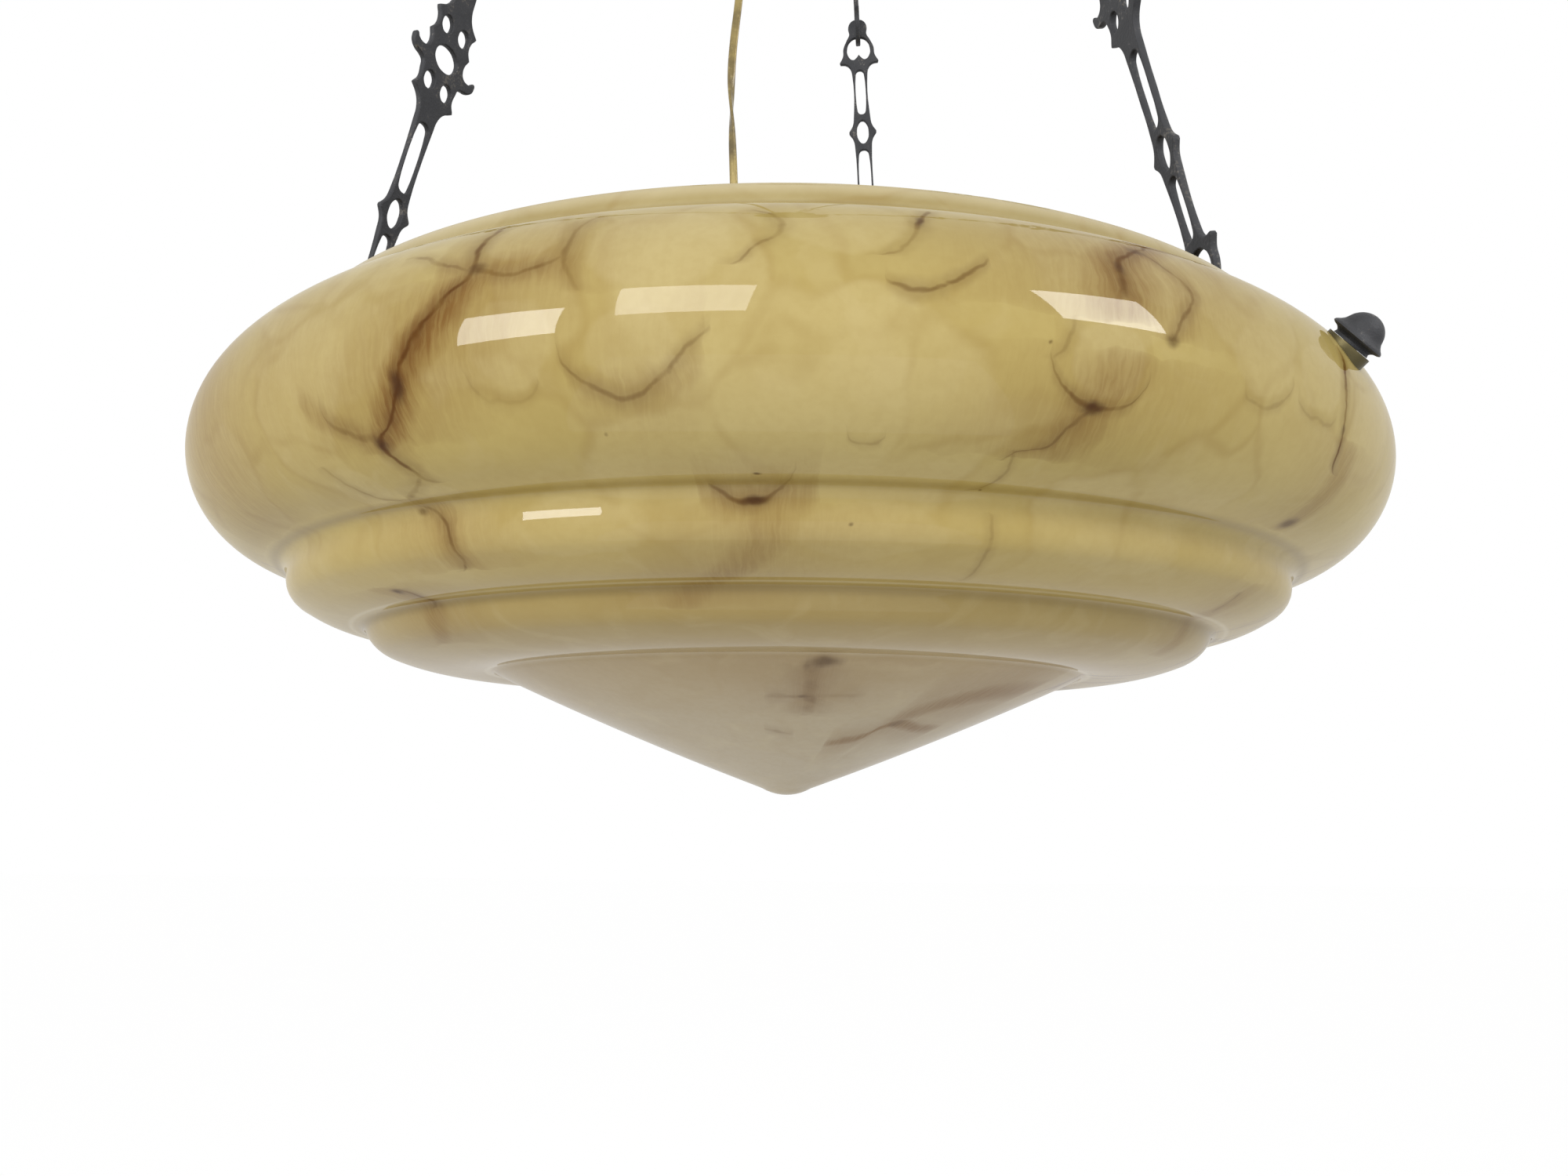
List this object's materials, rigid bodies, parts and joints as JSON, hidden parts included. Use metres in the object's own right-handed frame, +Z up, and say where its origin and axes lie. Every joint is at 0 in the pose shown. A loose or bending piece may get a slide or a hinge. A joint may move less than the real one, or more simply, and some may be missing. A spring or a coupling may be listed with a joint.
{
  "type": "bowl pendant light",
  "caption": "Ceiling pendant: a deep marbled glass bowl hung on pierced cast chains from a crown, ring and canopy, with a bulb on a flat cord inside",
  "frame": {"origin": "middle of the ceiling face of the bracket", "axes": "+Z up out of the ceiling face, +X right and +Y away from the viewer as in the picture"},
  "size_m": [0.4517, 0.45, 0.9719],
  "materials": {
    "marbled_glass": "glossy cased marbled glass, nearly opaque",
    "dark_casting": "blackened cast metal, worn to brass on edges",
    "aged_brass": "aged",
    "brass": "plain",
    "plated_steel": "zinc plated",
    "gold_cord": "translucent gold sheath",
    "pale_plastic": "moulded",
    "porcelain": "glazed",
    "rubber": "matt",
    "clear_glass": "clear",
    "filament_wire": "bare wire"
  },
  "bodies": {
    "fixed": {"ceiling_bracket": "plated_steel", "terminal_block": "pale_plastic", "terminal_screws": "brass", "stem_tube": "plated_steel", "lock_nut": "plated_steel", "hanging_loop": "dark_casting", "cord_bush": "pale_plastic", "cord_inner": "gold_cord", "cord_upper": "gold_cord"},
    "canopy": {"canopy_cup": "dark_casting", "canopy_collar": "dark_casting", "collar_screw": "plated_steel"},
    "ring": {"suspension_ring": "dark_casting"},
    "pendant": {"chain_crown": "dark_casting", "link_1_1": "dark_casting", "link_1_2": "dark_casting", "top_link_1": "dark_casting", "link_2_1": "dark_casting", "link_2_2": "dark_casting", "top_link_2": "dark_casting", "link_3_1": "dark_casting", "link_3_2": "dark_casting", "top_link_3": "dark_casting", "connector_1": "dark_casting", "connector_2": "dark_casting", "connector_3": "dark_casting", "eye_bolt_1": "dark_casting", "eye_bolt_2": "dark_casting", "eye_bolt_3": "dark_casting", "inner_washers": "rubber", "outer_washers": "aged_brass", "glass_bowl": "marbled_glass", "cord_drop": "gold_cord", "cord_grip": "pale_plastic", "holder_cap": "aged_brass", "holder_core": "porcelain", "holder_shell": "aged_brass", "holder_contact": "brass", "thread_shell": "brass"},
    "shade_ring": {"holder_ring": "aged_brass"},
    "bulb": {"bulb_cap": "plated_steel", "bulb_contact": "brass", "bulb_glass": "clear_glass", "bulb_stem": "clear_glass", "bulb_filament": "filament_wire"},
    "finial_1": {"finial_1": "dark_casting"},
    "finial_2": {"finial_2": "dark_casting"},
    "finial_3": {"finial_3": "dark_casting"}
  },
  "joints": [
    {"name": "canopy_slide", "type": "slide", "parent": "fixed", "child": "canopy", "axis": [0, 0, -1], "range_m": [0, 0.022]},
    {"name": "ring_swing", "type": "hinge", "parent": "fixed", "child": "ring", "pos_m": [0, 0, -0.1174], "axis": [1, 0, 0], "range_deg": [-20, 20], "deforming": ["cord_upper"]},
    {"name": "pendant_swing", "type": "hinge", "parent": "ring", "child": "pendant", "pos_m": [0, 0, -0.1396], "axis": [0, 1, 0], "range_deg": [-20, 20], "deforming": ["cord_upper"]},
    {"name": "shade_ring_turn", "type": "hinge", "parent": "pendant", "child": "shade_ring", "pos_m": [-0.024, 0.004, -0.84091], "axis": [0, 0, 1], "continuous": true},
    {"name": "bulb_turn", "type": "hinge", "parent": "pendant", "child": "bulb", "pos_m": [-0.024, 0.004, -0.84591], "axis": [0, 0, 1], "continuous": true},
    {"name": "finial_1_turn", "type": "hinge", "parent": "pendant", "child": "finial_1", "pos_m": [0.16007, -0.1519, -0.83854], "axis": [0.5716, -0.5424, 0.6157], "continuous": true},
    {"name": "finial_2_turn", "type": "hinge", "parent": "pendant", "child": "finial_2", "pos_m": [0.06709, 0.21022, -0.83854], "axis": [0.2396, 0.7507, 0.6157], "continuous": true},
    {"name": "finial_3_turn", "type": "hinge", "parent": "pendant", "child": "finial_3", "pos_m": [-0.21585, -0.04588, -0.83854], "axis": [-0.7708, -0.1638, 0.6157], "continuous": true}
  ]
}
